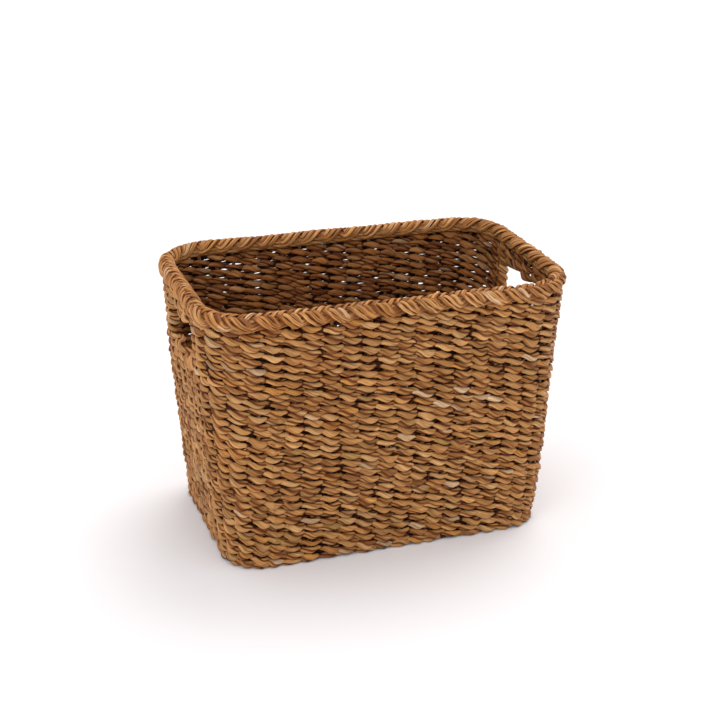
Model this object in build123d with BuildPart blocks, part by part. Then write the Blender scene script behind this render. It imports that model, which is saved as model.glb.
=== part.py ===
from build123d import *

import math
import os

# A rectangular basket woven from seagrass: upright stakes held by rounds of weft, called courses,
# with a plaited border on top and a hand hole in each short wall. Millimetres, +Z up, +X along the
# long side, and the origin on the surface that the basket stands on, under its middle.

# Overall size
RIM_LENGTH = 380.0  # outside of the border
RIM_WIDTH = 236.0
BASE_LENGTH = 335.0  # outside of the lowest course
BASE_WIDTH = 210.0
HEIGHT = 270.0
WALL_BOW = 0.4  # how far the walls swell between the base and the rim, as a share of their slope

# Stakes
STAKE = 4.2  # diameter
STAKE_LEVEL = 5.0  # height of a stake's middle where it runs across the base
STAKE_BEND = 4.0  # radius of its middle line at the foot of the wall
STAKE_TOP = 257.6
LONG_WALL_STAKES = 14
LONG_WALL_PITCH = 18.8
SHORT_WALL_STAKES = 6
SHORT_WALL_PITCH = 21.0
CORNER_STAKES = 4  # in each corner
SHORT_FOOT = 22.0  # length that a short-wall stake runs in under the base weave
CORNER_FOOT = 13.0

# Courses: two strands, one outside the odd stakes and the other outside the even ones, so that the
# pair swaps sides between the stakes and leaves an eye round each of them
COURSES = 31
COURSE_PITCH = 8.2
COURSE_HEIGHT = 7.9
COURSE_CHAMFER = 1.8
WALL = 12.2  # thickness of a course: strand, stake, strand
FOOT_COURSE = 3.6  # the lowest course is only the strand outside the stakes' bends
FOOT_CHAMFER = 1.0
EYE_LENGTH = 10.5
EYE_WIDTH = 5.6
EYE_FLAT = 4.0  # straight stretch beside the stake

# Hand holes, each as high as a few courses and as wide as the gap left by cut stakes
FIRST_HOLE_COURSE = 25
LAST_HOLE_COURSE = 29
HOLE_WIDTH = 92.0

# Base weave: straight rows above and below the stakes
ROW_PITCH = 8.4
ROW_WIDTH = 8.0
LOWER_ROWS = 23
LOWER_ROW_LOW = 0.0
LOWER_ROW_HIGH = 2.7
UPPER_ROWS = 21
UPPER_ROW_LOW = 7.4
UPPER_ROW_HIGH = 11.0
ROW_CHAMFER = 0.9
ROW_CLEARANCE = 0.5

# Border: three plaited bundles round a core made of the turned-down stake ends
BORDER = 16.5  # overall thickness
CORE = (258.0, 265.0, 3.4)  # lowest and highest level, and half thickness
SIDE_PLAIT = 4.6  # thickness of the outer and inner bundles
SIDE_PLAIT_LEVELS = (255.3, 266.6)
TOP_PLAIT = 12.4
TOP_PLAIT_LEVELS = (266.8, 270.0)
CORE_CHAMFER = 2.0
PLAIT_CHAMFER = 1.6
TOP_CHAMFER = 1.2

# Corner radii of the wall's middle line
BASE_CORNER = 34.0
RIM_CORNER = 50.0

base_half = (BASE_LENGTH / 2 - WALL / 2, BASE_WIDTH / 2 - WALL / 2)
rim_half = (RIM_LENGTH / 2 - BORDER / 2, RIM_WIDTH / 2 - BORDER / 2)

os.makedirs("parts", exist_ok=True)


def save(part, name):
    """Label a finished piece and write it as its own STEP file."""
    part.label = name
    export_step(part, f"parts/{name}.step")


def slope(height):
    """Share of the way from the base outline to the rim outline that the wall has reached at a height."""
    t = height / HEIGHT
    return t + WALL_BOW * t * (1 - t)


def middle_outline(height):
    """Length, width and corner radius of the wall's middle line at a height."""
    share = slope(height)
    half_length, half_width = (b + (r - b) * share for b, r in zip(base_half, rim_half))
    return 2 * half_length, 2 * half_width, BASE_CORNER + (RIM_CORNER - BASE_CORNER) * share


def corner_point(half, radius, side_x, side_y, angle):
    """The point at an angle round one rounded corner of a middle line."""
    x = half[0] - radius + radius * math.cos(angle)
    y = half[1] - radius + radius * math.sin(angle)
    return side_x * x, side_y * y


def long_wall_places():
    """The x of each stake that runs down one long wall, across the base and up the other."""
    return [(i - (LONG_WALL_STAKES - 1) / 2) * LONG_WALL_PITCH for i in range(LONG_WALL_STAKES)]


def short_wall_places():
    """The y of each stake in a short wall."""
    return [(i - (SHORT_WALL_STAKES - 1) / 2) * SHORT_WALL_PITCH for i in range(SHORT_WALL_STAKES)]


def corner_places():
    """The point at the base and the point at the rim of each corner stake."""
    places = []
    for side_x, side_y in ((1, 1), (-1, 1), (-1, -1), (1, -1)):
        for i in range(CORNER_STAKES):
            angle = math.radians(90) * (i + 0.5) / CORNER_STAKES
            low = corner_point(base_half, BASE_CORNER, side_x, side_y, angle)
            high = corner_point(rim_half, RIM_CORNER, side_x, side_y, angle)
            places.append((low, high))
    return places


def eye_locations(height):
    """Where the stakes pass through a course at a height, each turned to lie along the wall."""
    length, width, _ = middle_outline(height)
    spots = [Location((x, s * width / 2), 0) for x in long_wall_places() for s in (-1, 1)]
    spots += [Location((s * length / 2, y), 90) for y in short_wall_places() for s in (-1, 1)]
    for low, high in corner_places():
        x, y = (a + (b - a) * slope(height) for a, b in zip(low, high))
        outwards = math.degrees(math.atan2(high[1] - low[1], high[0] - low[0]))
        spots.append(Location((x, y), outwards + 90))
    return spots


def wall_plane(low, high):
    """The upright plane through a stake's places at the base and the rim, with its x outwards."""
    reach = math.dist(low, high)
    out = ((high[0] - low[0]) / reach, (high[1] - low[1]) / reach)
    return Plane(origin=(*low, 0), x_dir=(*out, 0), z_dir=(out[1], -out[0], 0))


def ring(low, high, outline, inside, outside, bevel):
    """A closed band round the basket between two levels, set off inwards and outwards from an outline."""
    length, width, corner = outline
    with BuildPart() as band:
        with BuildSketch(Plane.XY.offset(low)):
            RectangleRounded(length + 2 * outside, width + 2 * outside, corner + outside)
            RectangleRounded(
                length - 2 * inside, width - 2 * inside, corner - inside, mode=Mode.SUBTRACT
            )
        extrude(amount=high - low)
        rims = band.edges().group_by(Axis.Z)
        chamfer(rims[0] + rims[-1], bevel)
    return band.part


# Outline of the eye that the two strands of a course leave round a stake
EYE = (
    (-EYE_LENGTH / 2, 0),
    (-EYE_FLAT / 2, -EYE_WIDTH / 2),
    (EYE_FLAT / 2, -EYE_WIDTH / 2),
    (EYE_LENGTH / 2, 0),
    (EYE_FLAT / 2, EYE_WIDTH / 2),
    (-EYE_FLAT / 2, EYE_WIDTH / 2),
)


def full_course(number):
    """One course right round the basket, with an eye for every stake."""
    low = (number - 1) * COURSE_PITCH
    middle = low + COURSE_HEIGHT / 2
    with BuildPart() as course:
        add(ring(low, low + COURSE_HEIGHT, middle_outline(middle), WALL / 2, WALL / 2, COURSE_CHAMFER))
        with BuildSketch(Plane.XY.offset(low)):
            with Locations(*eye_locations(middle)):
                Polygon(*EYE)
        extrude(amount=COURSE_HEIGHT, mode=Mode.SUBTRACT)
    return course.part


def half_course(number, side):
    """The part of a course in front of the hand holes, side -1, or behind them, side 1."""
    with BuildPart() as course:
        add(full_course(number))
        split(
            bisect_by=Plane.XZ.offset(-side * HOLE_WIDTH / 2),
            keep=Keep.BOTTOM if side > 0 else Keep.TOP,
        )
    return course.part


# Courses from the foot of the wall up
foot_outline = middle_outline(COURSE_HEIGHT / 2)
foot_inside = FOOT_COURSE - WALL / 2
save(ring(0, COURSE_HEIGHT, foot_outline, foot_inside, WALL / 2, FOOT_CHAMFER), "course_01")
for number in range(2, COURSES + 1):
    if FIRST_HOLE_COURSE <= number <= LAST_HOLE_COURSE:
        save(half_course(number, -1), f"course_{number:02d}_front")
        save(half_course(number, 1), f"course_{number:02d}_back")
    else:
        save(full_course(number), f"course_{number:02d}")

# Stakes that make a U: down the front wall, across the base and up the back wall
with BuildPart() as cross_stakes:
    for place in long_wall_places():
        with BuildLine(Plane.YZ.offset(place)) as run:
            front, back = (
                [(side * middle_outline(z)[1] / 2, z) for z in (STAKE_TOP, STAKE_TOP / 2, STAKE_LEVEL)]
                for side in (-1, 1)
            )
            ThreePointArc(*front)
            Line(front[-1], back[-1])
            ThreePointArc(*reversed(back))
            fillet(run.vertices().group_by(Axis.Z)[0], STAKE_BEND)
        with BuildSketch(Plane(origin=run.line @ 0, z_dir=run.line % 0)):
            Circle(STAKE / 2)
        sweep(path=run.line)
save(cross_stakes.part, "cross_stakes")


def bent_stake(low, high, foot, top):
    """A stake that stands in the wall up to a level and is bent in under the base weave."""
    reach = math.dist(low, high)
    with BuildPart() as stake:
        with BuildLine(wall_plane(low, high)) as run:
            levels = (top, top / 2, STAKE_LEVEL)
            wall_run = [(reach * slope(z), z) for z in levels]
            ThreePointArc(*wall_run)
            Line(wall_run[-1], (wall_run[-1][0] - foot, STAKE_LEVEL))
            fillet(run.vertices().sort_by(Axis.Z)[0:2].sort_by_distance(run.line @ 0)[0], STAKE_BEND)
        with BuildSketch(Plane(origin=run.line @ 0, z_dir=run.line % 0)):
            Circle(STAKE / 2)
        sweep(path=run.line)
    return stake.part


def stub_stake(low, high, bottom):
    """The short end of a cut stake between a hand hole and the border."""
    reach = math.dist(low, high)
    with BuildPart() as stub:
        with BuildLine(wall_plane(low, high)) as run:
            Line((reach * slope(bottom), bottom), (reach * slope(STAKE_TOP), STAKE_TOP))
        with BuildSketch(Plane(origin=run.line @ 0, z_dir=run.line % 0)):
            Circle(STAKE / 2)
        sweep(path=run.line)
    return stub.part


hole_bottom = (FIRST_HOLE_COURSE - 1) * COURSE_PITCH
hole_top = LAST_HOLE_COURSE * COURSE_PITCH

with BuildPart() as corner_stakes:
    for low, high in corner_places():
        add(bent_stake(low, high, CORNER_FOOT, STAKE_TOP))
save(corner_stakes.part, "corner_stakes")

for side_name, side in (("left", -1), ("right", 1)):
    feet = [((side * base_half[0], y), (side * rim_half[0], y)) for y in short_wall_places()]
    with BuildPart() as side_stakes:
        for low, high in feet:
            cut = abs(low[1]) < HOLE_WIDTH / 2
            add(bent_stake(low, high, SHORT_FOOT, hole_bottom - 1 if cut else STAKE_TOP))
    save(side_stakes.part, f"{side_name}_wall_stakes")
    with BuildPart() as stubs:
        for low, high in feet:
            if abs(low[1]) < HOLE_WIDTH / 2:
                add(stub_stake(low, high, hole_top + 1))
    save(stubs.part, f"{side_name}_handle_stakes")


def base_rows(count, low, high, outline):
    """Straight rows along the basket, each as long as the rounded outline allows."""
    half_length, half_width, corner = outline[0] / 2, outline[1] / 2, outline[2]
    with BuildPart() as rows:
        for i in range(count):
            y = (i - (count - 1) / 2) * ROW_PITCH
            into_corner = max(0.0, abs(y) + ROW_WIDTH / 2 - (half_width - corner))
            reach = half_length - corner + math.sqrt(corner**2 - into_corner**2) - ROW_CLEARANCE
            with BuildSketch(Plane.XY.offset(low)):
                with Locations((0, y)):
                    Rectangle(2 * reach, ROW_WIDTH)
            extrude(amount=high - low)
        chamfer(rows.edges().filter_by(Axis.X), ROW_CHAMFER)
    return rows.part


def shrunk(outline, amount):
    """An outline moved inwards all round."""
    length, width, corner = outline
    return length - 2 * amount, width - 2 * amount, corner - amount


lower_outline = shrunk(foot_outline, foot_inside)
upper_outline = shrunk(middle_outline(COURSE_PITCH + COURSE_HEIGHT / 2), WALL / 2)
save(base_rows(LOWER_ROWS, LOWER_ROW_LOW, LOWER_ROW_HIGH, lower_outline), "base_weave_lower")
save(base_rows(UPPER_ROWS, UPPER_ROW_LOW, UPPER_ROW_HIGH, upper_outline), "base_weave_upper")

# Border
rim_outline = middle_outline(HEIGHT)
half_border = BORDER / 2
save(ring(*CORE[:2], rim_outline, CORE[2], CORE[2], CORE_CHAMFER), "border_core")
save(
    ring(*SIDE_PLAIT_LEVELS, rim_outline, SIDE_PLAIT - half_border, half_border, PLAIT_CHAMFER),
    "border_plait_outer",
)
save(
    ring(*SIDE_PLAIT_LEVELS, rim_outline, half_border, SIDE_PLAIT - half_border, PLAIT_CHAMFER),
    "border_plait_inner",
)
save(
    ring(*TOP_PLAIT_LEVELS, rim_outline, TOP_PLAIT / 2, TOP_PLAIT / 2, TOP_CHAMFER),
    "border_plait_top",
)
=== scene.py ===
import math

import bpy
import numpy as np
from mathutils import Matrix, Vector


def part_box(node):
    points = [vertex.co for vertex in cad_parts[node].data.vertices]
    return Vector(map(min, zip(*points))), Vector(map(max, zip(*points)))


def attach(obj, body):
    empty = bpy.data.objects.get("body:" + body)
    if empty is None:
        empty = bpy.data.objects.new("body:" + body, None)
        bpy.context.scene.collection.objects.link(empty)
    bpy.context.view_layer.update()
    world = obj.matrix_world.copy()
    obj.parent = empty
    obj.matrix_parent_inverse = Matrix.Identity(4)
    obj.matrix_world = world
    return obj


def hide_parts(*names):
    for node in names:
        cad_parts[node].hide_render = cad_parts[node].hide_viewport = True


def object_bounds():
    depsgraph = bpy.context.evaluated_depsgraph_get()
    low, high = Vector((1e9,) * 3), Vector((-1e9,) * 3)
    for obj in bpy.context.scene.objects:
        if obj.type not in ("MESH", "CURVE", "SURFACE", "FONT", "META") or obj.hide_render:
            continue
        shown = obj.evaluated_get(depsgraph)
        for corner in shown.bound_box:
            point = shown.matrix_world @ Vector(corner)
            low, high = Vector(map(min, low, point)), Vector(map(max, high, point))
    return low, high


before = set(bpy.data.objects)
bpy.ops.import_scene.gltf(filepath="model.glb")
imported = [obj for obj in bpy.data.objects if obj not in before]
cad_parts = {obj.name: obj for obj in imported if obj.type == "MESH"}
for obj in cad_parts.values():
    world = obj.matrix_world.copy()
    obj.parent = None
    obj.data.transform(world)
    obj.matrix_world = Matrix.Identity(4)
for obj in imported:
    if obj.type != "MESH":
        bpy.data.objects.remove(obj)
cad_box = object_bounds()

# Seagrass basket: twisted strands woven plainly round upright stakes, with a three-bundle plait over
# the rim. A course is a pair of strands, the upper one outside the even stakes, the lower one outside
# the odd ones.
# Metres throughout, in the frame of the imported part. Stakes are numbered from 0 at the left end of the
# front wall, anticlockwise seen from above, and a number with a fraction is a place between two of them.
rng = np.random.default_rng(7)

WALL = 0.0122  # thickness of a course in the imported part
CORE_HALF = 0.0034
BASE_CORNER = 0.034  # radius of the wall's middle line at the corners, at the base and at the rim
RIM_CORNER = 0.050
LONG_STAKES, LONG_PITCH = 14, 0.0188
SHORT_STAKES, SHORT_PITCH = 6, 0.021
CORNER_STAKES = 4
STAKES = 2 * (LONG_STAKES + SHORT_STAKES) + 4 * CORNER_STAKES
LAST_BACK_STAKE = 41
FIRST_RIGHT_STAKE, FIRST_LEFT_STAKE = 18, 46
FIRST_CORNER_STAKES = 14, 24, 42, 52
HOLE_MIDDLES = 20.5, 48.5  # places of the middle of the right and of the left hand hole
HOLE_STAKES = {"front": (-5, 18), "back": (23, 46)}  # first and last stake of each half course
HOLE_MARGIN = 0.001  # from the courses that stop at the holes to the ends of the cut stakes
STRAND_PROUD = 0.0012  # how far the last course's upper strand may stand above the course

# ---------------------------------------------------------------- where the wall is


def course_number(name):
    return int(name.split("_")[1])


def measure_outline():
    """Height, half length and half width of the wall's middle line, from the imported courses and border."""
    rows = {}
    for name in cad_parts:
        if name.startswith("course_"):
            low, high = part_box(name)
            half_x = max(-low.x, high.x) - WALL / 2
            half_y = max(-low.y, high.y) - WALL / 2
            rows[course_number(name)] = ((low.z + high.z) / 2, half_x, half_y)
    table = [rows[n] for n in sorted(rows)]
    low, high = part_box("border_core")
    table.append(((low.z + high.z) / 2, high.x - CORE_HALF, high.y - CORE_HALF))
    return np.array(table)


OUTLINE = measure_outline()
COURSES = len(OUTLINE) - 1
COURSE_PITCH = (OUTLINE[-2, 0] - OUTLINE[0, 0]) / (COURSES - 1)
TOP_COURSE = OUTLINE[-2, 0] + COURSE_PITCH / 2 + STRAND_PROUD

hole_courses = [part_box(n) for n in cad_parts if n.startswith("course_") and n.endswith("_front")]
hole_low = min(low.z for low, high in hole_courses) - HOLE_MARGIN
hole_high = max(high.z for low, high in hole_courses) + HOLE_MARGIN


def wall_size(height):
    """Half length, half width and corner radius of the middle line at each height."""
    half_x = np.interp(height, OUTLINE[:, 0], OUTLINE[:, 1])
    half_y = np.interp(height, OUTLINE[:, 0], OUTLINE[:, 2])
    share = (half_x - OUTLINE[0, 1]) / (OUTLINE[-1, 1] - OUTLINE[0, 1])
    return half_x, half_y, BASE_CORNER + (RIM_CORNER - BASE_CORNER) * share


def stake_distances(half_x, half_y, corner):
    """Distance to every stake round the middle line, from the middle of the front wall, and its length."""
    quarter = corner * math.pi / 2
    long_places = (np.arange(LONG_STAKES) - (LONG_STAKES - 1) / 2) * LONG_PITCH
    short_places = (np.arange(SHORT_STAKES) - (SHORT_STAKES - 1) / 2) * SHORT_PITCH
    corner_places = (np.arange(CORNER_STAKES) + 0.5) / CORNER_STAKES
    side_x, side_y = 2 * (half_x - corner), 2 * (half_y - corner)
    places = []
    start = -side_x / 2
    for side, spots in ((side_x, long_places), (side_y, short_places)) * 2:
        places += [start + side / 2 + spot for spot in spots]
        start = start + side
        places += [start + quarter * spot for spot in corner_places]
        start = start + quarter
    return np.array(places), 2 * (side_x + side_y) + 4 * quarter


def on_outline(distance, half_x, half_y, corner):
    """Point and outward direction at each distance round a middle line."""
    side_x, side_y, quarter = 2 * (half_x - corner), 2 * (half_y - corner), corner * math.pi / 2
    around = 2 * (side_x + side_y) + 4 * quarter
    d = np.mod(distance + side_x / 2, around)
    half = around / 2
    flip = np.where(d >= half, -1.0, 1.0)
    d = np.mod(d, half)
    first = np.clip(d, 0, side_x)
    turn = np.clip(d - side_x, 0, quarter) / corner
    second = np.clip(d - side_x - quarter, 0, side_y)
    last = np.clip(d - side_x - quarter - side_y, 0, quarter) / corner
    angle = -math.pi / 2 + turn + last
    x = first - side_x / 2 + corner * np.sin(turn) - corner * (1 - np.cos(last))
    y = -half_y + corner * (1 - np.cos(turn)) + second + corner * np.sin(last)
    return np.stack([x * flip, y * flip], -1), np.stack([np.cos(angle) * flip, np.sin(angle) * flip], -1)


DRIFT_WAVES = 7  # waves that add up to one drift


def drift_modes(seed, count, rounds, tallness):
    """The waves of a drift: how many of each go round the wall, their rise with height and their start."""
    modes = np.random.default_rng(seed)
    turns = modes.integers(1, rounds, count)
    rise = modes.uniform(-1, 1, count) * 2 * math.pi / tallness
    return turns, rise, modes.uniform(0, 2 * math.pi, count)


# name, seed, limit on the waves round the wall and shortest height in which a wave repeats
DRIFTS = {name: drift_modes(seed, DRIFT_WAVES, rounds, tall) for name, seed, rounds, tall in (
    ("along", 11, 9, 0.11), ("up", 12, 12, 0.16), ("out", 13, 6, 0.20), ("scale", 14, 20, 0.05))}


def drift(name, stake, height):
    """Slow unevenness of hand weaving, about -1 to 1, as a function of the place round and up the wall."""
    turns, rise, start = DRIFTS[name]
    waves = np.cos(
        2 * math.pi * np.asarray(stake)[..., None] * turns / STAKES
        + np.asarray(height)[..., None] * rise
        + start
    )
    return waves.sum(-1) / math.sqrt(len(turns) * 2)


# stake pitches from a hole's middle to where the sway starts, and from there until it is full
HOLE_REACH, HOLE_FADE = 3.0, 2.5
SWAY = 0.16  # size of the drift along the wall, in stake pitches
BULGE, BULGE_FOOT, BULGE_FADE = 0.0012, 0.01, 0.03  # outwards: size, where it starts and until it is full
WAVER = 0.0016  # up and down, none at the foot and none at WAVER_TOP
WAVER_FOOT, WAVER_TOP, WAVER_FADE = 0.02, 0.262, 0.03


def away_from_holes(stake):
    """0 beside the hand holes and 1 well away from them."""
    right, left = (np.abs(np.mod(stake, STAKES) - middle) for middle in HOLE_MIDDLES)
    return np.clip((np.minimum(right, left) - HOLE_REACH) / HOLE_FADE, 0, 1)


def wall_point(stake, height, out):
    """Point of the wall at each place, height and distance outwards, and the outward direction there."""
    half_x, half_y, corner = wall_size(float(np.mean(height)))
    places, around = stake_distances(half_x, half_y, corner)
    numbers = np.arange(-STAKES, 2 * STAKES)
    distances = np.concatenate([places - around, places, places + around])
    sway = SWAY * drift("along", stake, height) * away_from_holes(stake)
    distance = np.interp(stake + sway, numbers, distances)
    point, normal = on_outline(distance, half_x, half_y, corner)
    bulge = BULGE * drift("out", stake, height) * np.clip((height - BULGE_FOOT) / BULGE_FADE, 0, 1)
    flat = point + normal * (out + bulge)[:, None]
    ends = np.clip(height / WAVER_FOOT, 0, 1) * np.clip((WAVER_TOP - height) / WAVER_FADE, 0, 1)
    z = height + WAVER * drift("up", stake, height) * ends
    return np.column_stack([flat, z]), np.column_stack([normal, np.zeros(len(normal))])


# ---------------------------------------------------------------- meshes

FIBRE_ROUND = 0.0035  # radius at which the fibres' noise is read round a strand
FIBRE_ALONG = 0.07  # and how far it is read along one for each metre, which draws the fibres out


def unit(v):
    return v / np.maximum(np.linalg.norm(v, axis=-1, keepdims=True), 1e-12)


def tangents(points, closed):
    if closed:
        return unit(np.roll(points, -1, 0) - np.roll(points, 1, 0))
    return unit(np.gradient(points, axis=0))


class Pile:
    """Tubes gathered into one mesh, each vertex with a colour and a place in its fibres."""

    def __init__(self):
        self.points, self.faces, self.colours, self.fibres, self.count = [], [], [], [], 0

    def tube(self, path, outward, wide, thick, closed, turn, profile, colour, tilt=0.0):
        """A strand along a path.

        wide and thick are its half sizes across and towards outward, and tilt leans them over. profile says
        how far each point of the section stands out, and turn how far its creases have gone round.
        """
        n, m = profile.shape
        along = tangents(path, closed)
        out = unit(outward - along * (outward * along).sum(1)[:, None])
        side = np.cross(along, out)
        tilt = np.broadcast_to(tilt, n)
        lean_out = out * np.cos(tilt)[:, None] + side * np.sin(tilt)[:, None]
        lean_side = side * np.cos(tilt)[:, None] - out * np.sin(tilt)[:, None]
        angle = turn[:, None] + np.arange(m) * 2 * math.pi / m
        a = (thick[:, None] * np.cos(angle) * profile)[..., None]
        b = (wide[:, None] * np.sin(angle) * profile)[..., None]
        points = path[:, None, :] + a * lean_out[:, None, :] + b * lean_side[:, None, :]
        step = np.linalg.norm(np.diff(path, axis=0), axis=1)
        run = np.concatenate([[0], np.cumsum(step)])
        spin = np.arange(m) * 2 * math.pi / m
        fibre = np.empty((n, m, 3))
        fibre[..., 0] = FIBRE_ROUND * np.cos(spin)
        fibre[..., 1] = FIBRE_ROUND * np.sin(spin)
        fibre[..., 2] = run[:, None] * FIBRE_ALONG
        fibre += rng.uniform(-1, 1, 3)
        i = np.arange(n if closed else n - 1)[:, None]
        j = np.arange(m)[None, :]
        i2, j2 = (i + 1) % n, (j + 1) % m
        quads = np.stack([i * m + j, i2 * m + j, i2 * m + j2, i * m + j2], -1).reshape(-1, 4)
        self.faces.append(quads + self.count)
        self.points.append(points.reshape(-1, 3))
        self.colours.append(colour.reshape(-1, 3))
        self.fibres.append(fibre.reshape(-1, 3))
        self.count += n * m

    def make(self, name, material, slot, *nodes):
        """One visible piece of all the tubes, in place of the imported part's nodes."""
        points = np.concatenate(self.points)
        quads = np.concatenate(self.faces)
        mesh = bpy.data.meshes.new(name)
        mesh.vertices.add(len(points))
        mesh.vertices.foreach_set("co", points.astype(np.float32).ravel())
        mesh.loops.add(quads.size)
        mesh.loops.foreach_set("vertex_index", quads.astype(np.int32).ravel())
        mesh.polygons.add(len(quads))
        mesh.polygons.foreach_set("loop_start", np.arange(0, quads.size, 4, dtype=np.int32))
        mesh.update(calc_edges=True)
        mesh.polygons.foreach_set("use_smooth", np.ones(len(quads), bool))
        colours = np.concatenate(self.colours)
        colours = np.column_stack([colours, np.ones(len(colours))])
        colour_and_painted_shade = mesh.attributes.new("colour_and_painted_shade", "FLOAT_COLOR", "POINT")
        colour_and_painted_shade.data.foreach_set("color", colours.astype(np.float32).ravel())
        fibre = mesh.attributes.new("fibre", "FLOAT_VECTOR", "POINT")
        fibre.data.foreach_set("vector", np.concatenate(self.fibres).astype(np.float32).ravel())
        mesh.validate()
        piece = bpy.data.objects.new(name, mesh)
        bpy.context.scene.collection.objects.link(piece)
        mesh.materials.append(material)
        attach(piece, "root")
        if nodes:
            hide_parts(*nodes)
        return piece


# ---------------------------------------------------------------- colour


def linear(*srgb):
    """Linear colour of an sRGB one, 0 to 255."""
    c = np.array(srgb, float) / 255
    return np.where(c <= 0.04045, c / 12.92, ((c + 0.055) / 1.055) ** 2.4)


# Dry seagrass, from the common tan to the rarer bleached, orange, olive and brown leaves
LEAVES = np.array([
    linear(214, 158, 97), linear(206, 149, 87), linear(220, 169, 110), linear(196, 138, 79),
    linear(226, 188, 145), linear(210, 147, 76), linear(192, 148, 86), linear(168, 111, 62)])
LEAF_SHARES = np.array([0.32, 0.26, 0.18, 0.12, 0.035, 0.04, 0.025, 0.02])
LEAF_DARKEST, LEAF_LIGHTEST = 0.90, 1.08
LEAF_LIGHTNESS = 0.84
MATT_GLOSS = 0.22
BUMP_DEPTH = 0.0006


def leaf_colours(shape, dark=1.0):
    """Random leaf colours, most of them near the common ones."""
    pick = rng.choice(len(LEAVES), size=shape, p=LEAF_SHARES)
    base = LEAVES[pick]
    return base * rng.uniform(LEAF_DARKEST, LEAF_LIGHTEST, (*shape, 1)) * dark


def set_range(node, *numbers):
    for socket, number in zip(("From Min", "From Max", "To Min", "To Max"), numbers):
        node.inputs[socket].default_value = number


def seagrass(name, strength):
    """Matt seagrass: the strand's colour with its painted shade, streaked along its fibres, with fine ribs
    in the bump.
    """
    material = bpy.data.materials.new(name)
    material.use_nodes = True
    nodes, links = material.node_tree.nodes, material.node_tree.links
    nodes.clear()
    output = nodes.new("ShaderNodeOutputMaterial")
    shader = nodes.new("ShaderNodeBsdfPrincipled")
    colour_and_painted_shade = nodes.new("ShaderNodeAttribute")
    colour_and_painted_shade.attribute_name = "colour_and_painted_shade"
    place = nodes.new("ShaderNodeAttribute")
    place.attribute_name = "fibre"

    def noise(scale, detail, rough):
        n = nodes.new("ShaderNodeTexNoise")
        n.inputs["Scale"].default_value = scale
        n.inputs["Detail"].default_value = detail
        n.inputs["Roughness"].default_value = rough
        links.new(place.outputs["Vector"], n.inputs["Vector"])
        return n.outputs["Fac"]

    def ramp(source, *stops):
        r = nodes.new("ShaderNodeValToRGB")
        while len(r.color_ramp.elements) < len(stops):
            r.color_ramp.elements.new(0.5)
        for element, (position, colour) in zip(r.color_ramp.elements, stops):
            element.position = position
            element.color = (*colour, 1)
        links.new(source, r.inputs["Fac"])
        return r.outputs["Color"]

    def multiply(a, b, factor=1.0):
        mix = nodes.new("ShaderNodeMix")
        mix.data_type = "RGBA"
        mix.blend_type = "MULTIPLY"
        mix.inputs["Factor"].default_value = factor
        # the colour sockets share their names with the node's other sockets, so they go by number
        links.new(a, mix.inputs[6])
        links.new(b, mix.inputs[7])
        return mix.outputs[2]

    def value(source, low, high, to_low, to_high):
        m = nodes.new("ShaderNodeMapRange")
        set_range(m, low, high, to_low, to_high)
        links.new(source, m.inputs["Value"])
        return m.outputs["Result"]

    streaks = noise(620, 3, 0.6)
    ribs = noise(1500, 2, 0.5)
    blotches = noise(140, 2, 0.5)
    colour = multiply(colour_and_painted_shade.outputs["Color"], ramp(
        streaks, (0.30, (0.46, 0.34, 0.24)), (0.46, (0.93, 0.91, 0.88)), (0.68, (1.34, 1.38, 1.42))))
    colour = multiply(colour, ramp(ribs, (0.34, (0.72, 0.66, 0.60)), (0.52, (1.0, 1.0, 1.0))), 0.8)
    colour = multiply(colour, ramp(
        blotches, (0.33, (0.80, 0.72, 0.62)), (0.52, (1.0, 1.0, 1.0)), (0.70, (1.10, 1.12, 1.16))))
    gain = nodes.new("ShaderNodeHueSaturation")
    gain.inputs["Value"].default_value = LEAF_LIGHTNESS
    links.new(colour, gain.inputs["Color"])
    links.new(gain.outputs["Color"], shader.inputs["Base Color"])
    links.new(value(streaks, 0.3, 0.7, 0.72, 0.50), shader.inputs["Roughness"])
    shader.inputs["Specular IOR Level"].default_value = MATT_GLOSS
    height = nodes.new("ShaderNodeMath")
    height.operation = "ADD"
    links.new(value(streaks, 0.3, 0.7, 0.0, 0.6), height.inputs[0])
    links.new(value(ribs, 0.3, 0.7, 0.0, 0.4), height.inputs[1])
    bump = nodes.new("ShaderNodeBump")
    bump.inputs["Strength"].default_value = strength
    bump.inputs["Distance"].default_value = BUMP_DEPTH
    links.new(height.outputs[0], bump.inputs["Height"])
    links.new(bump.outputs["Normal"], shader.inputs["Normal"])
    links.new(shader.outputs["BSDF"], output.inputs["Surface"])
    return material


WEFT = seagrass("weft_seagrass", 0.55)
STAKE = seagrass("stake_seagrass", 0.6)
BASE = seagrass("base_seagrass", 0.55)
BORDER = seagrass("border_seagrass", 0.6)

# ---------------------------------------------------------------- courses

STEPS = 14  # points of a strand to each stake
SECTION = 24  # points round a strand
LOBES = 2  # bundles of leaves that are twisted into a strand
SWING = 0.0039  # a strand's middle line from the stakes' middle, where it passes one
PASS_HALF = 0.52 * COURSE_PITCH  # half height of a strand over a stake, and where it dives between two
CROSS_HALF = 0.345 * COURSE_PITCH
THICK_HALF = 0.0021  # half thickness at the same two places
CROSS_THICK = 0.0036
PASS_SHARPNESS = 1.9  # how quickly it goes from one to the other
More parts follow.
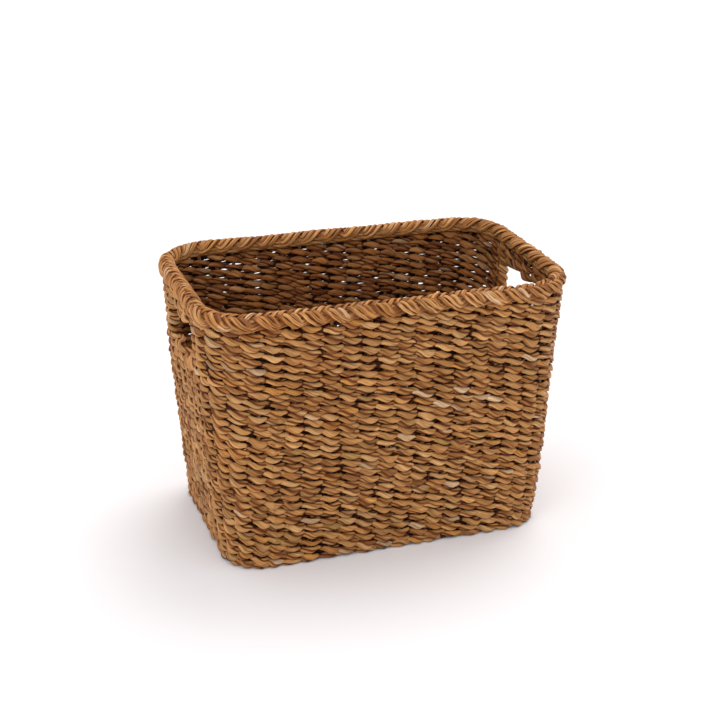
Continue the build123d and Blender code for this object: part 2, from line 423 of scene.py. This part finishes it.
# a strand's middle keeps this many half heights from the foot and from TOP_COURSE; a bundle that stands
# out more than most can still reach a little past them
FOOT_ROOM, TOP_ROOM, FOOT_GAP = 1.05, 0.9, 0.0001
RISE = 0.0009  # how far the left end of an outer pass stands above its middle, and its right end below
SAG = 0.0009  # how far an outer pass hangs below its ends, and an inner one stands above them
TWIST = 0.72 * math.pi  # how far a strand's creases turn in each pass
CREASE_PAINTED_SHADE = np.array([0.27, 0.14, 0.07])  # painted shade between two bundles, as a share of the leaves' colour
HIDDEN_PAINTED_SHADE = np.array([0.09, 0.034, 0.013])  # painted shade where light hardly reaches
INNER_PAINTED_SHADE = np.array([0.64, 0.54, 0.46])  # painted shade on the sides that face into the basket
CREASE_LEVEL, CREASE_DEEP = 0.92, 0.30  # where a crease's shade starts in the profile, and until it is full
OPEN_GAIN, OPEN_SIDE = 3.5, 0.35  # how soon a side counts as open where a strand comes out of the weave
HIDDEN_LEVEL, HIDDEN_SPAN = 0.54, 0.60  # openness under which a side gets painted shade, and until it is darkest
BARE_SHARE = 0.8  # of the hidden shade that is left out at a hand hole
# how deep the valley between two bundles is at each point of one bundle's share of the section
VALLEY = np.array([1.0, 0.55, 0.22, 0.06, 0.0, 0.0, 0.0, 0.0, 0.0, 0.06, 0.22, 0.55])
BLEND_FROM, BLEND_SPAN = 0.38, 0.24  # part of a stake pitch in which one pass turns into the next
SLOW_SPOTS = 9  # places round the basket between which a strand's size drifts
NARROWEST, WIDEST = 0.72, 1.35  # limits of a pass's size
SHORTEST_LEAF, LONGEST_LEAF = 2, 8  # passes that one leaf lasts
ANY_TURN = 6  # the creases start at a random angle up to this
BEND_POINTS = 9  # of a strand that turns back at a hand hole
BEND_WIDTH = 0.88  # its width there, as a share of what it had
BEND_OPEN = 0.7  # and how open it counts as


def blend_passes(values, stake):
    """Values of the passes, one for each stake, carried along a strand. They change at the crossings."""
    k = np.floor(stake).astype(int)
    t = np.clip((stake - k - BLEND_FROM) / BLEND_SPAN, 0, 1)
    t = (t * t * (3 - 2 * t)).reshape(-1, *([1] * (values.ndim - 1)))
    return values[k % STAKES] * (1 - t) + values[(k + 1) % STAKES] * t


def strand_random():
    """What differs from pass to pass along one strand, drawn in this order."""
    slow = np.interp(
        np.arange(STAKES), np.linspace(0, STAKES, SLOW_SPOTS), rng.uniform(0.9, 1.1, SLOW_SPOTS)
    )
    wide = np.clip(rng.normal(1.0, 0.13, STAKES) * slow, NARROWEST, WIDEST)
    return {
        "wide": wide,  # share of the half height
        "out": rng.normal(0, 0.00035, STAKES),  # metres
        "up": rng.normal(0, 0.00055, STAKES),
        "tilt": rng.normal(-0.40, 0.16, STAKES),  # radians
        "turn": rng.normal(0, 0.35, STAKES),
        "shift": rng.normal(0, 0.10, STAKES),  # stake pitches along the wall
        "crease": rng.uniform(0.28, 0.60, (STAKES, LOBES)),  # depth of the valleys, as a share of the size
        "bulk": rng.normal(1.0, 0.07, (STAKES, LOBES)),  # how far the bundles stand out, likewise
        "colour": strand_colours(),
    }


def strand_colours():
    """A colour for every pass and bundle. A bundle keeps its leaf for a few passes."""
    colours = leaf_colours((STAKES, LOBES))
    for lobe in range(LOBES):
        pass_number = 0
        while pass_number < STAKES:
            length = int(rng.integers(SHORTEST_LEAF, LONGEST_LEAF + 1))
            colours[pass_number:pass_number + length, lobe] = colours[pass_number, lobe]
            pass_number += length
    shade = rng.uniform(0.88, 1.10, (STAKES, 1, 1))
    return colours * shade


def strand_shape(stake, phase, height, random):
    """Path, outward direction, how far outside the stakes it is (-1 to 1), and half sizes of one strand.

    phase is 0 for the strand that passes outside stake 0 and 1 for the other one of the course.
    """
    angle = math.pi * (stake + phase + blend_passes(random["shift"], stake))
    c, s = np.cos(angle), np.sin(angle)
    over = np.abs(c) ** PASS_SHARPNESS
    out = SWING * c + blend_passes(random["out"], stake)
    up = (0.5 - phase) * COURSE_PITCH / 2 - RISE * s - SAG * c * np.abs(c)
    up = up + blend_passes(random["up"], stake) * over
    path, outward = wall_point(stake, height + up, out)
    wide = blend_passes(random["wide"], stake)
    half_wide = CROSS_HALF + (PASS_HALF * wide - CROSS_HALF) * over
    path[:, 2] = np.maximum(path[:, 2], half_wide * FOOT_ROOM + FOOT_GAP)
    path[:, 2] = np.minimum(path[:, 2], TOP_COURSE - half_wide * TOP_ROOM)
    half_thick = CROSS_THICK + (THICK_HALF - CROSS_THICK) * over
    return path, outward, c, half_wide, half_thick


def strand_profile(stake, random):
    """How far each point of the section stands out, with a valley between the bundles."""
    crease = blend_passes(random["crease"], stake)
    bulk = blend_passes(random["bulk"], stake)
    per = SECTION // LOBES
    profile = np.empty((len(stake), SECTION))
    for j in range(SECTION):
        lobe, spot = divmod(j, per)
        profile[:, j] = bulk[:, lobe] * (1 - VALLEY[spot]) + VALLEY[spot]
        profile[:, j] -= crease[:, lobe] * VALLEY[spot]
    return profile


def strand_colour_and_painted_shade(stake, random, out_share, profile, turn, way=1.0, bare=0.0):
    """Colour over a strand: its leaves, with painted shade in the creases and on the sides that lie against
    the others.

    way is -1 where a strand's section faces into the basket. The sides that face into the basket get painted
    shade.
    bare is 1 at the edge of a hand hole, where no other strand covers this one.
    """
    leaf = blend_passes(random["colour"], stake)
    per = SECTION // LOBES
    colour = np.repeat(leaf, per, axis=1)
    crease = np.clip((CREASE_LEVEL - profile) / CREASE_DEEP, 0, 1)[..., None]
    angle = turn[:, None] + np.arange(SECTION) * 2 * math.pi / SECTION
    facing = np.cos(angle) * np.reshape(way, (-1, 1))
    open_share = facing * np.clip(OPEN_GAIN * out_share[:, None] + OPEN_SIDE * np.sign(facing), -1, 1)
    hidden = np.clip((HIDDEN_LEVEL - open_share) / HIDDEN_SPAN, 0, 1)
    hidden = (hidden * (1 - BARE_SHARE * np.reshape(bare, (-1, 1))))[..., None]
    inner = np.clip(-2 * facing, 0, 1)[..., None]
    hidden = hidden * hidden * (3 - 2 * hidden)
    return colour * CREASE_PAINTED_SHADE**crease * INNER_PAINTED_SHADE**inner * HIDDEN_PAINTED_SHADE**hidden


def full_course(pile, height):
    """A course that goes right round: two closed strands."""
    stake = np.arange(STAKES * STEPS) / STEPS
    at_hole = min(abs(height - hole_low), abs(height - hole_high)) < COURSE_PITCH
    bare = at_hole * (1 - away_from_holes(stake))
    for phase in (0, 1):
        random = strand_random()
        path, outward, c, half_wide, half_thick = strand_shape(stake, phase, height, random)
        turn = TWIST * stake + blend_passes(random["turn"], stake) + rng.uniform(0, ANY_TURN)
        whole = np.round((turn[-1] - turn[0]) / (2 * math.pi)) * 2 * math.pi
        turn += (whole - TWIST * STAKES) * stake / STAKES
        profile = strand_profile(stake, random)
        colour_and_painted_shade = strand_colour_and_painted_shade(stake, random, c, profile, turn, bare=bare)
        tilt = blend_passes(random["tilt"], stake) * c
        pile.tube(path, outward, half_wide, half_thick, True, turn, profile, colour_and_painted_shade, tilt)


def half_course(pile, height, first, last):
    """A course that turns back round the stakes at the hand holes: one strand out and back."""
    random = [strand_random(), strand_random()]
    ahead = np.arange(first * STEPS, last * STEPS + 1) / STEPS
    bend = np.linspace(0, math.pi, BEND_POINTS + 2)[1:-1]
    paths, outs, wides, thicks, shares, ways, profiles, tilts, stakes = ([] for _ in range(9))
    for phase, stake, end in ((0, ahead, last), (1, ahead[::-1], first)):
        r = random[phase]
        path, outward, c, half_wide, half_thick = strand_shape(stake, phase, height, r)
        profile = strand_profile(stake, r)
        way = 1 if end == last else -1
        lead = math.cos(math.pi * (end + phase))
        spread = way * SWING * np.sin(bend)
        ones = np.ones(len(bend))
        level = height + ((0.5 - phase) * COURSE_PITCH / 2 - SAG * lead) * np.cos(bend)
        centre, normal = wall_point(ones * end, level, 0 * ones)
        around = np.column_stack([-normal[:, 1], normal[:, 0], 0 * ones])
        out = SWING * lead * np.cos(bend)
        turn_path = centre + around * spread[:, None] + normal * out[:, None]
        turn_out = unit(around * spread[:, None] + normal * out[:, None])
        turn_profile = np.repeat(profile[-1:], len(bend), 0)
        for store, run, extra in (
            (paths, path, turn_path), (outs, outward * way, turn_out * way),
            (wides, half_wide, half_wide[-1] * ones * BEND_WIDTH),
            (thicks, half_thick, half_thick[-1] * ones),
            (profiles, profile, turn_profile),
            (tilts, blend_passes(r["tilt"], stake) * c * way, 0 * ones),
            (shares, c, ones * BEND_OPEN),
            (ways, way * np.ones(len(stake)), way * ones),
            (stakes, stake, ones * end),
        ):
            store += [run, extra]
    path, outward = np.concatenate(paths), np.concatenate(outs)
    run = np.concatenate([[0], np.cumsum(np.linalg.norm(np.diff(path, axis=0), axis=1))])
    turn = run / run[-1] * np.round((last - first) * 2 * TWIST / (2 * math.pi)) * 2 * math.pi
    profile = np.concatenate(profiles)
    colour_and_painted_shade = strand_colour_and_painted_shade(np.concatenate(stakes), random[0], np.concatenate(shares), profile, turn,
                       np.concatenate(ways))
    pile.tube(path, outward, np.concatenate(wides), np.concatenate(thicks), True, turn,
              profile, colour_and_painted_shade, np.concatenate(tilts))


for name in sorted(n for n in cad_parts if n.startswith("course_")):
    low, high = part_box(name)
    pile = Pile()
    half = name.rsplit("_", 1)[-1]
    if half in HOLE_STAKES:
        half_course(pile, (low.z + high.z) / 2, *HOLE_STAKES[half])
    else:
        full_course(pile, (low.z + high.z) / 2)
    pile.make("woven_" + name, WEFT, "weft", name)

# ---------------------------------------------------------------- border

BUNDLES = 3
PLIES = 3
PLAIT_REPEATS = 16  # each bundle goes out and back this many times round the rim
PLAIT_CENTRE = 0.0020  # where the bundles cross, from the crest over the outer side of the rounded rim
PLAIT_SWING = 0.0100  # how far the bundles' middles go to either side of that
PLAIT_LIFT = 0.0016  # how far a bundle rises where it is the upper one
CREST_BLEND = 0.0016  # and how near the crest it changes
LEG_SHARPNESS = 0.96  # 1 would make the legs quite straight, with points between them
PLY_PITCH = 0.0040
PLY_HALF = 0.0023
PLY_THICK = 0.0016
PLY_SECTION = 12  # points round a ply
PLY_CREASE = 0.12
PLY_TURNS = 0.6  # turns of a ply's creases for each time its bundle goes out and back
PLY_SQUEEZE = 0.30  # how much nearer the plies lie where a bundle turns back
PLY_DOME, PLY_WANDER, PLY_STIR = 0.0007, 0.0004, 0.0003  # middle ply above the others; drifts along and up
PLAIT_JITTER = 0.16  # radians that the crossings drift along the rim
EDGE_SHARPNESS = 6  # how near its turns a bundle is squeezed
UNDER_PAINTED_SHADE = 0.5  # share of the painted hidden shade under a crossing, next to another ply and in a crease
SIDE_PAINTED_SHADE, SIDE_LEVEL, SIDE_SHARPNESS = 0.85, 0.62, 1.5
PLY_CREASE_PAINTED_SHADE = 0.4
PLY_HIDDEN = 0.75  # and of all that together
CREST_RADIUS = 0.0050
RIM_SIDE = 0.0035  # straight side of the border, below the rounded crest
RIM_UNDER = 0.0025  # radius with which the bundles turn in under the border
UNDER_LIMIT = 2.2  # radians that they go round there
RIM_WAVE = 0.0008
CREST_GAP = 0.0004  # from the plait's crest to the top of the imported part
PLAIT_STEPS = 1000
BORDER_LIGHT = 1.22  # the border's leaves, as a share of the usual colour
LOOSE_ENDS = 7  # frayed leaf ends that stand out of each bundle
END_REACH = 0.007, 0.014  # their length along the rim, the place over it where they start, and their lift
END_ACROSS = -0.005, 0.012
END_LIFT = 0.0005, 0.0045
END_HALF = 0.0009  # half sizes at the root
END_THICK = 0.0004
END_POINTS, END_SECTION = 14, 6
END_LIGHT = 1.1

core_low, core_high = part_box("border_core")
_, top_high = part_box("border_plait_top")
crest_level = top_high.z - PLAIT_LIFT - PLY_THICK - CREST_RADIUS - CREST_GAP
rim_x, rim_y, rim_corner = (float(v) for v in wall_size((core_low.z + core_high.z) / 2))
_, rim_length = stake_distances(rim_x, rim_y, rim_corner)


def over_rim(distance, across, lift):
    """Point on the rounded rim and the direction that faces away from it.

    across is measured over the rim from its crest, positive outwards, and lift away from its surface.
    """
    point, normal = on_outline(distance, rim_x, rim_y, rim_corner)
    quarter = CREST_RADIUS * math.pi / 2
    side = np.sign(across)
    reach = np.abs(across)
    angle = np.minimum(reach, quarter) / CREST_RADIUS
    under = np.clip((reach - quarter - RIM_SIDE) / RIM_UNDER, 0, UNDER_LIMIT)
    below = np.clip(reach - quarter, 0, RIM_SIDE)
    angle = angle + under
    centre = np.where(under > 0, CREST_RADIUS - RIM_UNDER, 0)
    radius = np.where(under > 0, RIM_UNDER, CREST_RADIUS) + lift
    out = side * (centre + radius * np.sin(angle))
    up = radius * np.cos(angle) - below
    facing = np.column_stack([normal * (side * np.sin(angle))[:, None], np.cos(angle)])
    place = np.column_stack([point + normal * out[:, None], crest_level + up])
    wave = RIM_WAVE * drift("up", distance / rim_length * STAKES, np.zeros(len(distance)))
    place[:, 2] += wave
    return place, facing


def rim_drift(share, row):
    """Unevenness along the rim. Each row of it is a different one."""
    return drift("scale", share * STAKES, np.full(PLAIT_STEPS, row))


def plait_bundle(pile, bundle):
    """One of the bundles that swing from side to side over the rim, a third of a swing apart."""
    share = np.arange(PLAIT_STEPS) / PLAIT_STEPS
    jitter = PLAIT_JITTER * rim_drift(share, bundle * 0.3)
    theta = 2 * math.pi * (PLAIT_REPEATS * share + bundle / BUNDLES) + jitter
    distance = share * rim_length
    bent = LEG_SHARPNESS * np.sin(theta)
    swing = np.arcsin(bent) / math.asin(LEG_SHARPNESS)
    steep = LEG_SHARPNESS * np.cos(theta) / np.sqrt(1 - bent**2) / math.asin(LEG_SHARPNESS)
    slope = PLAIT_SWING * 2 * math.pi * PLAIT_REPEATS / rim_length * steep
    size = np.sqrt(1 + slope**2)
    edge = np.abs(np.sin(theta)) ** EDGE_SHARPNESS
    for ply in range(PLIES):
        offset = (ply - (PLIES - 1) / 2) * PLY_PITCH * (1 - PLY_SQUEEZE * edge)
        offset = offset + PLY_WANDER * rim_drift(share, ply * 0.7 + bundle)
        along = distance - offset * slope / size
        away = PLAIT_SWING * swing + offset / size
        dome = PLY_DOME * (1 - ((ply - (PLIES - 1) / 2) / (PLIES / 2)) ** 2)
        lift = PLAIT_LIFT * np.tanh(away / CREST_BLEND) * np.tanh(3 * np.cos(theta)) + dome
        lift = lift + PLY_STIR * rim_drift(share, ply * 1.9 + bundle)
        path, facing = over_rim(along, PLAIT_CENTRE + away, lift)
        m = PLY_SECTION
        passes = rng.normal(1.0, 0.12, 2 * PLAIT_REPEATS * 2)
        half = np.interp(share * len(passes), np.arange(len(passes) + 1), np.append(passes, passes[0]))
        turn = 2 * math.pi * np.round(PLAIT_REPEATS * PLY_TURNS) * share + rng.uniform(0, ANY_TURN)
        profile = np.ones((PLAIT_STEPS, m)) * rng.normal(1.0, 0.05, m)
        profile[:, ::4] -= PLY_CREASE
        leaf = leaf_colours((PLAIT_REPEATS * 2, 1), BORDER_LIGHT)
        pick = (share * PLAIT_REPEATS * 2).astype(int)
        # painted shade where the bundle passes under another, on the sides next to other plies, and in the
        # creases
        under = np.clip(-np.sin(2 * theta), 0, 1)[:, None]
        angle = turn[:, None] + np.arange(m) * 2 * math.pi / m
        sides = np.clip((SIDE_LEVEL - np.cos(angle)) / SIDE_LEVEL, 0, 1) ** SIDE_SHARPNESS
        dark = 1 - (1 - UNDER_PAINTED_SHADE * under) * (1 - SIDE_PAINTED_SHADE * sides)
        crease = np.clip((1.0 - profile) / PLY_CREASE, 0, 1)
        dark = 1 - (1 - dark) * (1 - PLY_CREASE_PAINTED_SHADE * crease)
        colour = np.repeat(leaf[pick], m, axis=1) * HIDDEN_PAINTED_SHADE ** (PLY_HIDDEN * dark[..., None])
        pile.tube(path, facing, PLY_HALF * half, PLY_THICK * np.sqrt(half), True, turn, profile, colour)


def loose_end(pile):
    """The frayed end of a leaf that stands out of the plait."""
    share = np.linspace(0, 1, END_POINTS)
    reach = rng.choice([-1, 1]) * rng.uniform(*END_REACH)
    along = rng.uniform(0, rim_length) + reach * share
    across = rng.uniform(*END_ACROSS) + rng.normal(0, 0.004) * share**2
    path, facing = over_rim(along, across, rng.uniform(*END_LIFT) * share**1.5)
    m = END_SECTION
    colour = np.tile(leaf_colours((1, 1), END_LIGHT), (len(share), m, 1))
    pile.tube(path, facing, END_HALF * (1 - 0.8 * share), END_THICK * (1 - 0.6 * share), False,
              rng.uniform(-1, 1) * share, np.ones((len(share), m)), colour)


for bundle, node in enumerate(("border_plait_outer", "border_plait_inner", "border_plait_top")):
    pile = Pile()
    plait_bundle(pile, bundle)
    for _ in range(LOOSE_ENDS):
        loose_end(pile)
    pile.make(f"plait_bundle_{bundle + 1}", BORDER, "border", node)

# ---------------------------------------------------------------- core and stakes

CORD_LEAVES, LEAF_POINTS = 3, 4  # leaves in a cord, and points round each
CORD_GROOVE, GROOVE_PAINTED_SHADE = 0.84, 0.5  # how far a cord's grooves stand out, and the painted shade in them, as a share of the leaves' colour
CORE_STEPS = 700
CORE_LAY = 0.02  # length of half a twist in the rim's cords, and in the stakes
STAKE_LAY = 0.012
STAKE_RADIUS = 0.0021
STAKE_LEVEL = 0.0050  # of the stakes' parts that lie in the base
STAKE_STEP = 0.004
STAKE_SHADE = 0.7
CORNER_ROUNDS = 3  # times that a stake's bend is smoothed
CORNER_FOOT, SIDE_FOOT = 0.013, 0.022  # how far the stakes run in under the base weave


def cord_tube(pile, path, outward, radius, closed, dark, lay):
    """A cord of three twisted leaves. lay is the length of half a twist."""
    m = CORD_LEAVES * LEAF_POINTS
    run = np.concatenate([[0], np.cumsum(np.linalg.norm(np.diff(path, axis=0), axis=1))])
    turns = run / lay * math.pi
    if closed:
        turns = turns * (np.round(turns[-1] / (2 * math.pi)) * 2 * math.pi / turns[-1])
    profile = np.ones((len(path), m))
    profile[:, ::LEAF_POINTS] = CORD_GROOVE
    leaf = leaf_colours((1, CORD_LEAVES), dark)
    colour = np.repeat(leaf, LEAF_POINTS, axis=1) * np.ones((len(path), 1, 1))
    # painted shade in the grooves between the leaves
    colour = colour * np.where(profile < 1.0, GROOVE_PAINTED_SHADE, 1.0)[..., None]
    size = np.full(len(path), radius)
    pile.tube(path, outward, size, size, closed, turns, profile, colour)


pile = Pile()
core_steps = np.arange(CORE_STEPS) / CORE_STEPS * rim_length
core_level = (core_low.z + core_high.z) / 2
# across the wall, up from the core's middle, radius and shade: the cords inside, then one under the
# crossings of the plait and two laid along the inner side
for across, up, radius, shade in (
    (-0.0022, 0.0, 0.0026, 0.6), (0.0022, 0.0003, 0.0026, 0.6), (0.0003, -0.0028, 0.0026, 0.6),
    (0.0014, 0.0022, 0.0030, 0.85), (-0.0040, -0.0040, 0.0024, 0.95), (-0.0042, -0.0004, 0.0021, 0.95),
):
    point, normal = on_outline(core_steps, rim_x, rim_y, rim_corner)
    ring = np.column_stack([point + normal * across, np.full(len(point), core_level + up)])
    cord_tube(pile, ring, np.column_stack([normal, np.zeros(len(point))]), radius, True, shade, CORE_LAY)
pile.make("rim_core_cords", BORDER, "border", "border_core")

stake_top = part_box("cross_stakes")[1].z


def stake_run(number, low, high):
    """The upright part of a stake, from a low to a high level."""
    levels = np.linspace(low, high, max(3, int((high - low) / STAKE_STEP)))
    points, outward = [], []
    for level in levels:
        p, n = wall_point(np.array([float(number)]), np.array([level]), np.array([0.0]))
        points.append(p[0])
        outward.append(n[0])
    return np.array(points), np.array(outward)


def smooth_corner(points):
    """Points of a path with its sharp bend rounded off."""
    for _ in range(CORNER_ROUNDS):
        middle = points[1:-1] * 0.5 + (points[:-2] + points[2:]) * 0.25
        points = np.concatenate([points[:1], middle, points[-1:]])
    return points


def stake_with_foot(number, high, foot):
    """A stake that is bent in under the base weave."""
    upright, outward = stake_run(number, STAKE_LEVEL, high)
    inward = np.linspace(foot, STAKE_STEP, max(3, int(foot / STAKE_STEP)))
    run_in = upright[0] - outward[0] * inward[:, None]
    return smooth_corner(np.concatenate([run_in, upright]))


def stakes_piece(name, paths):
    pile = Pile()
    for path in paths:
        across = np.tile([1.0, 0.3, 0.1], (len(path), 1))  # any direction that no stake runs in will do
        cord_tube(pile, path, across, STAKE_RADIUS, False, STAKE_SHADE, STAKE_LAY)
    pile.make("cords_" + name, STAKE, "stake", name)


crossing = []
for number in range(LONG_STAKES):
    front, _ = stake_run(number, STAKE_LEVEL, stake_top)
    back, _ = stake_run(LAST_BACK_STAKE - number, STAKE_LEVEL, stake_top)
    floor_run = np.linspace(front[0], back[0], 40)[1:-1]
    crossing.append(smooth_corner(np.concatenate([front[::-1], floor_run, back])))
stakes_piece("cross_stakes", crossing)
corner_numbers = [n + i for n in FIRST_CORNER_STAKES for i in range(CORNER_STAKES)]
stakes_piece("corner_stakes", [stake_with_foot(n, stake_top, CORNER_FOOT) for n in corner_numbers])
for side, first in (("right", FIRST_RIGHT_STAKE), ("left", FIRST_LEFT_STAKE)):
    whole = [first, first + SHORT_STAKES - 1]
    cut = list(range(first + 1, first + SHORT_STAKES - 1))
    stakes_piece(
        f"{side}_wall_stakes",
        [stake_with_foot(n, stake_top, SIDE_FOOT) for n in whole]
        + [stake_with_foot(n, hole_low, SIDE_FOOT) for n in cut],
    )
    stakes_piece(f"{side}_handle_stakes", [stake_run(n, hole_high, stake_top)[0] for n in cut])

# ---------------------------------------------------------------- base weave

BASE_ROWS = 23
BASE_PITCH = 0.0084
UNDER_CENTRE, UNDER_HALF = 0.00145, 0.00130  # level and half thickness of a strand under a stake
OVER_CENTRE, OVER_HALF = 0.0089, 0.0018  # and over one
BASE_HALF, BASE_CROSS = 0.0043, 0.0023  # half width at a stake, and between two
BASE_FULLER = 0.0006  # how much thicker it is between two
BASE_SLANT = 0.0006
BASE_SHARPNESS, BASE_LIFT = 1.5, 0.75  # powers that shape a strand's width and its swing up and down
BASE_STEP = 0.0015
BASE_INSET, ROW_REACH = 0.003, 0.002  # the rows' ends from the wall's middle line; a row's half width there
ROW_MIDDLE = 28  # the pass whose unevenness the middle of a row has

pile = Pile()
first_size = wall_size(OUTLINE[0, 0])
for row in range(BASE_ROWS):
    y = (row - (BASE_ROWS - 1) / 2) * BASE_PITCH
    into = max(0.0, abs(y) + ROW_REACH - (first_size[1] - first_size[2]))
    reach = first_size[0] - first_size[2] + math.sqrt(max(first_size[2]**2 - into**2, 0)) - BASE_INSET
    x = np.linspace(-reach, reach, int(2 * reach / BASE_STEP))
    for phase in (0, 1):
        random = strand_random()
        stake = x / LONG_PITCH + 0.5 + phase
        c, s = np.cos(math.pi * stake), np.sin(math.pi * stake)
        over = np.abs(c) ** BASE_SHARPNESS
        side = (c + 1) / 2
        lift = np.sign(c) * np.abs(c) ** BASE_LIFT
        swing = np.where(lift > 0, OVER_CENTRE - STAKE_LEVEL, STAKE_LEVEL - UNDER_CENTRE)
        z = STAKE_LEVEL + swing * lift
        path = np.column_stack([x, y + (0.5 - phase) * BASE_PITCH / 2 - BASE_SLANT * s, z])
        number = np.mod(stake + ROW_MIDDLE - phase, STAKES)
        wide = BASE_CROSS + (BASE_HALF * blend_passes(random["wide"], number) - BASE_CROSS) * over
        thick = UNDER_HALF + (OVER_HALF - UNDER_HALF) * side
        thick = thick + BASE_FULLER * (1 - over)
        profile = strand_profile(number, random)
        turn = TWIST * stake
        colour_and_painted_shade = strand_colour_and_painted_shade(number, random, c, profile, turn)
        outward = np.tile([0.0, 0.0, 1.0], (len(x), 1))
        pile.tube(path, outward, wide, thick, False, turn, np.minimum(profile, 1.0), colour_and_painted_shade)
pile.make("woven_base", BASE, "base_weft", "base_weave_lower", "base_weave_upper")

# ---------------------------------------------------------------- floor, light and camera

FLOOR_SIZE, FLOOR_DROP = 24, 0.0003  # its side, and how far it lies under the part
FLOOR_COLOUR, FLOOR_ROUGHNESS, FLOOR_GLOSS = (0.96, 0.945, 0.95), 0.9, 0.1
SKY_COLOUR, SKY_LOW, SKY_HIGH = (1.0, 0.985, 1.0, 1), 0.34, 1.26  # strength at the horizon and overhead
SUN_POWER, SUN_ANGLE, SUN_COLOUR, SUN_PLACE = 0.95, 45, (1.0, 0.99, 0.97), (0.8, 0.7, 1.6)
FILL_POWER, FILL_SIZE, FILL_PLACE = 5, 0.9, (-1.4, -1.0, 1.1)


def flat_material(name, colour, roughness):
    material = bpy.data.materials.new(name)
    material.use_nodes = True
    shader = material.node_tree.nodes["Principled BSDF"]
    shader.inputs["Base Color"].default_value = (*colour, 1)
    shader.inputs["Roughness"].default_value = roughness
    shader.inputs["Specular IOR Level"].default_value = FLOOR_GLOSS
    return material


bpy.ops.mesh.primitive_plane_add(size=FLOOR_SIZE, location=(0, 0, cad_box[0][2] - FLOOR_DROP))
floor = bpy.context.object
floor.name = "studio_floor"
floor.data.materials.append(flat_material("studio_white", FLOOR_COLOUR, FLOOR_ROUGHNESS))

world = bpy.data.worlds.new("studio")
bpy.context.scene.world = world
world.use_nodes = True
sky, sky_links = world.node_tree.nodes, world.node_tree.links
sky_place = sky.new("ShaderNodeTexCoord")
sky_height = sky.new("ShaderNodeSeparateXYZ")
sky_strength = sky.new("ShaderNodeMapRange")
set_range(sky_strength, 0.0, 1.0, SKY_LOW, SKY_HIGH)
sky_links.new(sky_place.outputs["Generated"], sky_height.inputs[0])
sky_links.new(sky_height.outputs["Z"], sky_strength.inputs["Value"])
sky_seen = sky.new("ShaderNodeMath")  # the backdrop itself is white, whatever light it gives
sky_seen.operation = "MAXIMUM"
sky_links.new(sky_strength.outputs["Result"], sky_seen.inputs[0])
sky_links.new(sky.new("ShaderNodeLightPath").outputs["Is Camera Ray"], sky_seen.inputs[1])
sky_links.new(sky_seen.outputs["Value"], sky["Background"].inputs["Strength"])
sky["Background"].inputs["Color"].default_value = SKY_COLOUR


def lamp(name, kind, power, place):
    """A light that points at the middle of the basket."""
    light = bpy.data.lights.new(name, kind)
    light.energy = power
    holder = bpy.data.objects.new(name, light)
    holder.location = place
    holder.rotation_euler = (MIDDLE - Vector(place)).to_track_quat("-Z", "Y").to_euler()
    bpy.context.scene.collection.objects.link(holder)
    return light


MIDDLE = Vector((0, 0, 0.13))
sun = lamp("key", "SUN", SUN_POWER, SUN_PLACE)
sun.angle = math.radians(SUN_ANGLE)
sun.color = SUN_COLOUR
fill = lamp("fill", "AREA", FILL_POWER, FILL_PLACE)
fill.shape = "SQUARE"
fill.size = FILL_SIZE

AZIMUTH, ELEVATION, ROLL = math.radians(-19.18), math.radians(23.71), math.radians(0.536)
DISTANCE = 1.5433
LENS, SENSOR = 74.18, 36
SHIFT_X, SHIFT_Y = 0.0061, 0.0297
target = Vector((0, 0, 0.135))
direction = Vector((
    math.sin(AZIMUTH) * math.cos(ELEVATION),
    -math.cos(AZIMUTH) * math.cos(ELEVATION),
    math.sin(ELEVATION),
))
camera_data = bpy.data.cameras.new("camera")
camera_data.sensor_width = SENSOR
camera_data.lens = LENS
camera_data.shift_x, camera_data.shift_y = SHIFT_X, SHIFT_Y
camera_data.dof.use_dof = False
camera = bpy.data.objects.new("camera", camera_data)
bpy.context.scene.collection.objects.link(camera)
camera.location = target + direction * DISTANCE
look = (-direction).to_track_quat("-Z", "Y")
camera.rotation_euler = (look.to_matrix() @ Matrix.Rotation(ROLL, 3, "Z")).to_euler()
bpy.context.scene.camera = camera

bpy.context.scene.view_settings.view_transform = "Standard"
